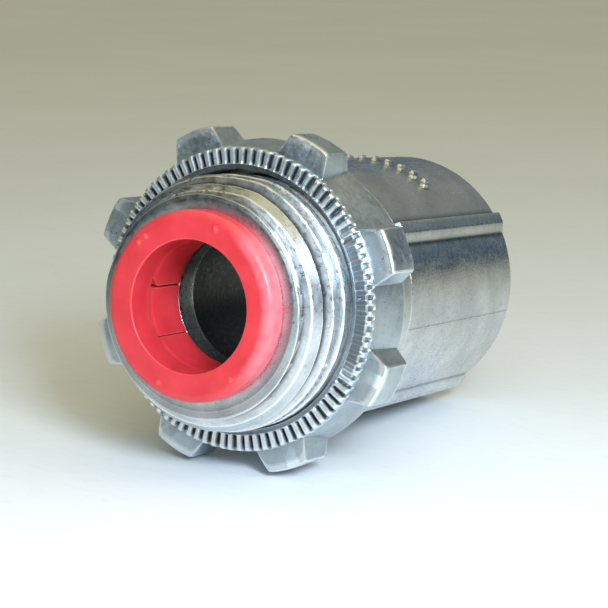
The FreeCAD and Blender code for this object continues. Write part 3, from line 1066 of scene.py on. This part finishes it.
def table():
    """A pale table that the lock nut's lugs and the barrel's rear edge rest on."""
    front_rest = Vector((0, (LOCKNUT_REAR_Y - LUG_REST) * MM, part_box("locknut")[0].z))
    rear_rest = Vector((0, (NUT_REAR_Y - BARREL_REST) * MM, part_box("gland_nut")[0].z))
    along = (rear_rest - front_rest).normalized()
    across = Vector((1, 0, 0))
    corners = [
        front_rest + along * TABLE_HALF * a + across * TABLE_HALF * b - Vector((0, 0, TABLE_GAP * MM))
        for a, b in ((-1, -1), (-1, 1), (1, 1), (1, -1))
    ]
    mesh = bpy.data.meshes.new("table")
    mesh.from_pydata(corners, [], [(0, 1, 2, 3)])
    obj = bpy.data.objects.new("table", mesh)
    bpy.context.scene.collection.objects.link(obj)
    obj.data.materials.append(pale_table())


def soft_light(name, azimuth, elevation, distance, size, watts, colour):
    """An area light that faces the fitting, with its distance and size in metres.

    Azimuth 0 is in front of the nose and 90 is towards +X.
    """
    a, e = math.radians(azimuth), math.radians(elevation)
    away = Vector((math.sin(a) * math.cos(e), -math.cos(a) * math.cos(e), math.sin(e)))
    data = bpy.data.lights.new(name, "AREA")
    data.shape = "RECTANGLE"
    data.size, data.size_y = size
    data.energy = watts
    data.color = colour
    lamp = bpy.data.objects.new(name, data)
    lamp.location = away * distance
    lamp.rotation_euler = away.to_track_quat("Z", "Y").to_euler()
    bpy.context.scene.collection.objects.link(lamp)


def room():
    """Soft surroundings: warm overhead, grey at mid height, dark and bluish near the horizon."""
    world = bpy.data.worlds.new("room")
    bpy.context.scene.world = world
    world.use_nodes = True
    tree = world.node_tree
    tree.nodes.clear()
    direction = wire(tree, "TexCoord").outputs["Generated"]
    height = wire(tree, "SeparateXYZ", {"Vector": direction}).outputs["Z"]
    shades = wire(tree, "ValToRGB", {"Fac": height})
    stops = (
        (0.0, (0.10, 0.13, 0.15)),
        (0.05, (0.03, 0.06, 0.10)),
        (0.15, (0.04, 0.08, 0.13)),
        (0.30, (0.15, 0.20, 0.22)),
        (0.45, (0.29, 0.30, 0.27)),
        (0.70, (0.36, 0.35, 0.27)),
        (0.90, (0.80, 0.73, 0.43)),
    )
    elements = shades.color_ramp.elements
    for k, (at, colour) in enumerate(stops):
        element = elements[k] if k < 2 else elements.new(at)
        element.position = at
        element.color = (*colour, 1)
    sky = wire(tree, "Background", {"Color": shades.outputs["Color"], "Strength": 1.0})
    wire(tree, "OutputWorld", {"Surface": sky.outputs["Background"]})


# Each light's name, azimuth, elevation, distance, size, power in watts and colour.
LIGHTS = (
    ("window", 46, 23, 0.17, (0.045, 0.045), 0.38, (0.68, 0.82, 1.0)),
    ("side_window", 90, 35, 0.40, (0.20, 0.20), 0.22, (0.90, 0.97, 1.0)),
    ("fill", 30, 30, 0.20, (0.12, 0.12), 0.12, (0.85, 0.94, 1.0)),
)

CAMERA_AZIMUTH = math.radians(28.60)
CAMERA_ELEVATION = math.radians(7.35)
CAMERA_ROLL = math.radians(4.04)
CAMERA_AIM = (0.23, 6.0, -1.2)
CAMERA_DISTANCE = 175.2
CAMERA_LENS = 119.7


def camera():
    """The camera, low and to the right of the nose."""
    back = Vector((
        math.sin(CAMERA_AZIMUTH) * math.cos(CAMERA_ELEVATION),
        -math.cos(CAMERA_AZIMUTH) * math.cos(CAMERA_ELEVATION),
        math.sin(CAMERA_ELEVATION),
    ))
    data = bpy.data.cameras.new("camera")
    data.lens = CAMERA_LENS
    data.clip_start = 0.001
    obj = bpy.data.objects.new("camera", data)
    obj.location = Vector(CAMERA_AIM) * MM + back * CAMERA_DISTANCE * MM
    turn = back.to_track_quat("Z", "Y").to_matrix()
    obj.rotation_euler = (turn @ Matrix.Rotation(CAMERA_ROLL, 3, "Z")).to_euler()
    bpy.context.scene.collection.objects.link(obj)
    bpy.context.scene.camera = obj


# --- the pieces -----------------------------------------------------------------------------
body_zinc = zinc(
    "body_zinc", light=(0.72, 0.75, 0.77), dark=(0.50, 0.53, 0.55), rough=0.30, grain_depth=0.009)
lug_zinc = zinc(
    "locknut_zinc", light=(0.54, 0.60, 0.64), dark=(0.39, 0.45, 0.48), rough=0.34, grain_depth=0.012,
    hollow_shade=0.15, wear_and_glint=0.8)
nut_zinc = zinc(
    "gland_nut_zinc", light=(0.68, 0.70, 0.72), dark=(0.52, 0.55, 0.57), rough=0.21, grain_depth=0.008,
    stretch=(1, 0.12, 1), hollow_shade=0.7, wear_and_glint=0.3)
ring_steel = zinc(
    "ring_steel", light=(0.66, 0.65, 0.60), dark=(0.48, 0.47, 0.42), rough=0.28, grain_depth=0.005,
    stretch=(0.2, 1, 0.2), hollow_shade=0.7, wear_and_glint=0.5)
plastic = coral_plastic()

# How each piece is made, its body, the CAD node it replaces, its material slot and its material.
PIECES = (
    (connector_body, "connector", "connector_body", "body_zinc", body_zinc),
    (throat_bushing, "connector", "throat_bushing", "bushing_plastic", plastic),
    (locknut, "locknut", "locknut", "locknut_zinc", lug_zinc),
    (compression_ring, "compression_ring", "compression_ring", "ring_steel", ring_steel),
    (gland_nut, "gland_nut", "gland_nut", "gland_nut_zinc", nut_zinc),
)
for make, body, node, slot, material in PIECES:
    obj = make()
    finish_surface(obj)
    obj.data.materials.append(material)
    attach(obj, body)
    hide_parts(node)

table()
room()
camera()
for light in LIGHTS:
    soft_light(*light)
bpy.context.scene.view_settings.view_transform = "Standard"
